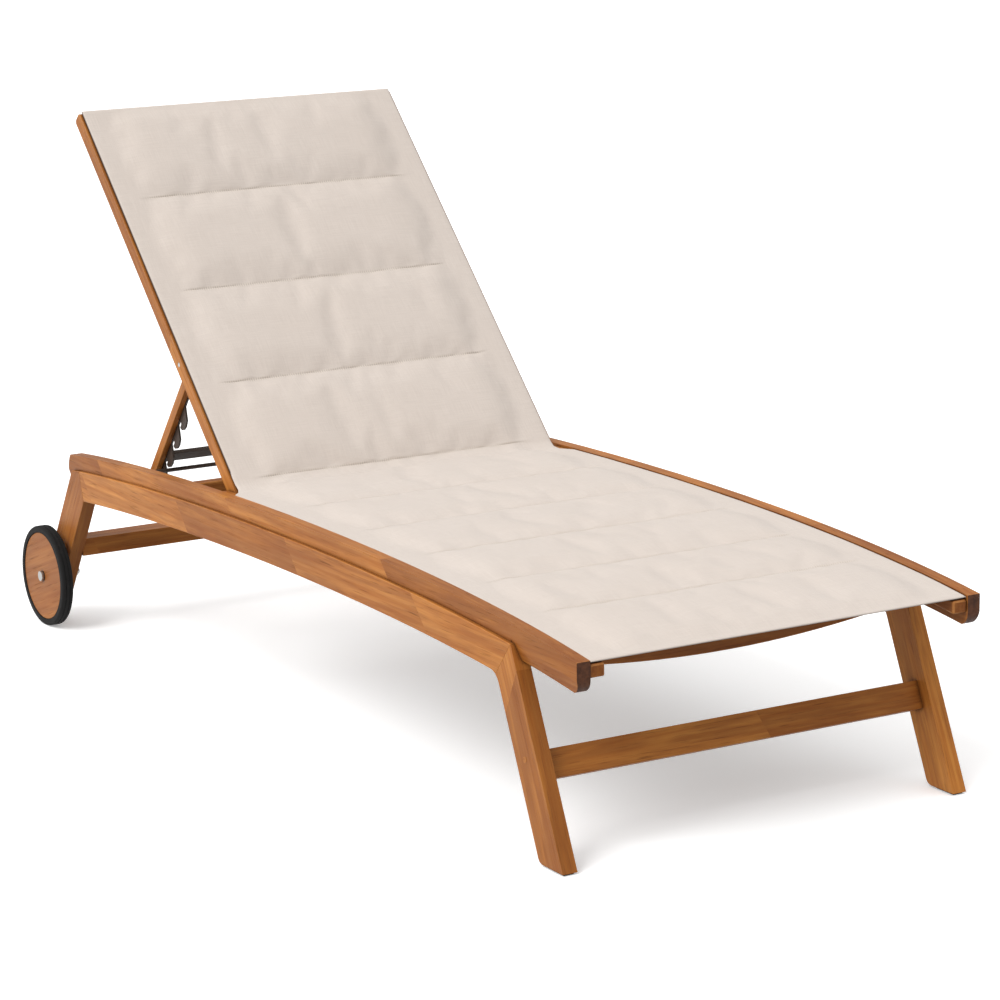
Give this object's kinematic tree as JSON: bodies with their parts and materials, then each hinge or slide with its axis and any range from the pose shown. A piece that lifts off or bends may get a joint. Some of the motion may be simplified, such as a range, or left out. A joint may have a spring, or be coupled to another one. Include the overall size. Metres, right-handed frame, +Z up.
{
  "type": "reclining sun lounger",
  "caption": "Hardwood sun lounger on wheels, with a quilted sling seat and a backrest that reclines on a folding ratchet prop.",
  "frame": {"origin": "centre of the footprint's bounding box, on the ground", "axes": "+Y from the foot end to the head end, +X across, +Z up"},
  "size_m": [0.79, 1.828, 0.9234],
  "materials": {
    "hardwood": "oiled eucalyptus-like hardwood",
    "sling_fabric": "quilted woven sling, beige",
    "dark_steel": "dark bronze powder coat",
    "bright_steel": "plain zinc-plated steel",
    "tyre_rubber": "matte black rubber",
    "pad_rubber": "matte black rubber",
    "bush_plastic": "black plastic"
  },
  "bodies": {
    "frame": {"side_rail_left": "hardwood", "side_rail_right": "hardwood", "lower_rail_left": "hardwood", "lower_rail_right": "hardwood", "front_leg_left": "hardwood", "front_leg_right": "hardwood", "rear_leg_left": "hardwood", "rear_leg_right": "hardwood", "front_stretcher": "hardwood", "rear_stretcher": "hardwood", "sling_batten_left": "hardwood", "sling_batten_right": "hardwood", "front_bow": "hardwood", "middle_bow": "hardwood", "rear_crossbar": "hardwood", "hinge_block_left": "hardwood", "hinge_block_right": "hardwood", "stretcher_plugs": "hardwood", "stretcher_screws": "bright_steel", "catch_rod": "dark_steel", "foot_pads": "pad_rubber", "axle_left": "bright_steel", "axle_right": "bright_steel", "axle_nuts": "bright_steel", "seat_sling": "sling_fabric"},
    "backrest": {"back_post_left": "hardwood", "back_post_right": "hardwood", "back_top_bar": "hardwood", "back_lower_bar": "hardwood", "back_sling": "sling_fabric", "hinge_bolts": "bright_steel", "prop_pivot_bolts": "bright_steel"},
    "prop": {"prop_strut_left": "hardwood", "prop_strut_right": "hardwood", "prop_crosspiece": "dark_steel", "ratchet_left": "dark_steel", "ratchet_right": "dark_steel", "ratchet_rivets": "bright_steel"},
    "wheel_left": {"wheel_disc_left": "hardwood", "tyre_left": "tyre_rubber", "wheel_bush_left": "bush_plastic"},
    "wheel_right": {"wheel_disc_right": "hardwood", "tyre_right": "tyre_rubber", "wheel_bush_right": "bush_plastic"}
  },
  "joints": [
    {"name": "back_recline", "type": "hinge", "parent": "frame", "child": "backrest", "pos_m": [0, 0.206, 0.334], "axis": [1, 0, 0], "range_deg": [-44.5, 0]},
    {"name": "prop_swing", "type": "hinge", "parent": "backrest", "child": "prop", "pos_m": [0, 0.40228, 0.52877], "axis": [1, 0, 0], "range_deg": [0, 97.4]},
    {"name": "wheel_left_spin", "type": "hinge", "parent": "frame", "child": "wheel_left", "pos_m": [-0.38, 0.824, 0.09], "axis": [1, 0, 0], "continuous": true},
    {"name": "wheel_right_spin", "type": "hinge", "parent": "frame", "child": "wheel_right", "pos_m": [0.38, 0.824, 0.09], "axis": [1, 0, 0], "continuous": true}
  ],
  "couplings": [
    {"joint": "prop_swing", "follows": "back_recline", "ratio": -2.1888}
  ]
}
